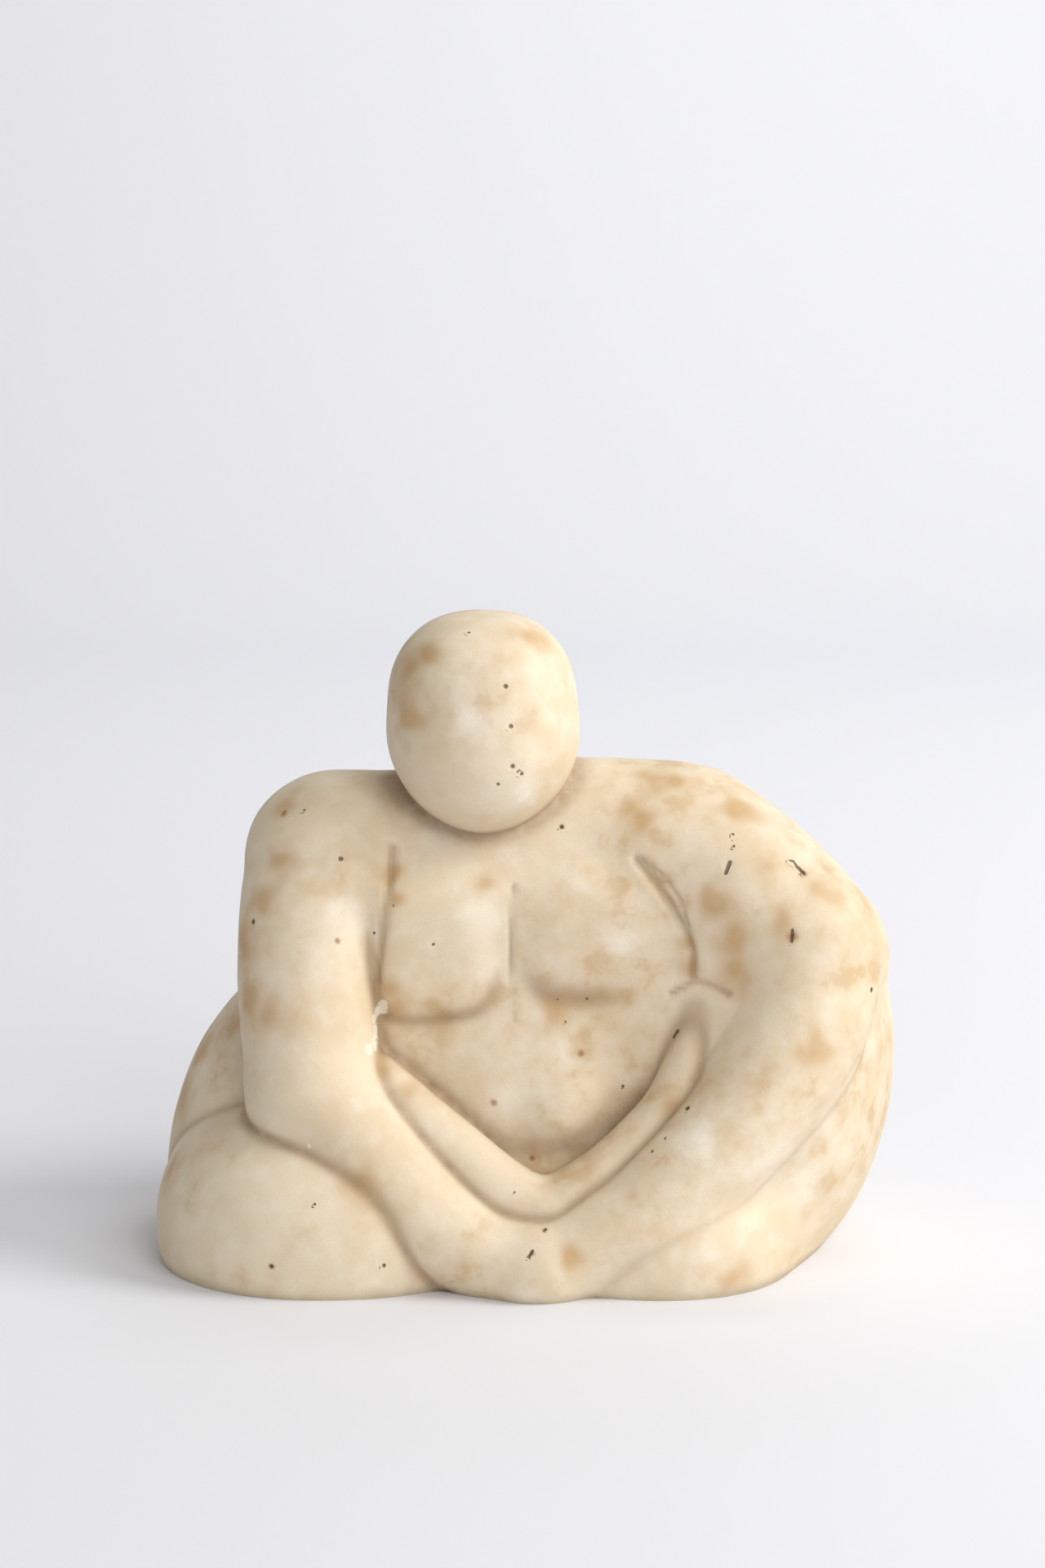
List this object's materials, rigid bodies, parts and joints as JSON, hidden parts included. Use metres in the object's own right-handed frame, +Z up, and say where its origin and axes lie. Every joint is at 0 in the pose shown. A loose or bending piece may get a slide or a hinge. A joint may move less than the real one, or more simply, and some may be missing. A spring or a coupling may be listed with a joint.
{
  "type": "seated stone figure",
  "caption": "Carved cream stone figure of a cross-legged sitter with a smooth faceless bowed head and joined hands, a shelf ornament that rests on its flat underside",
  "frame": {"origin": "middle of the bounding box in plan, at the height of the flat underside", "axes": "+X to the viewer's right when the figure is seen from the front, +Y to the figure's back, +Z up"},
  "size_m": [0.251, 0.1426, 0.217],
  "materials": {
    "stone": "smooth matt cream stone with warm ochre mottling, pits and worn edges"
  },
  "bodies": {
    "root": {"seated_figure": "stone"}
  },
  "joints": []
}
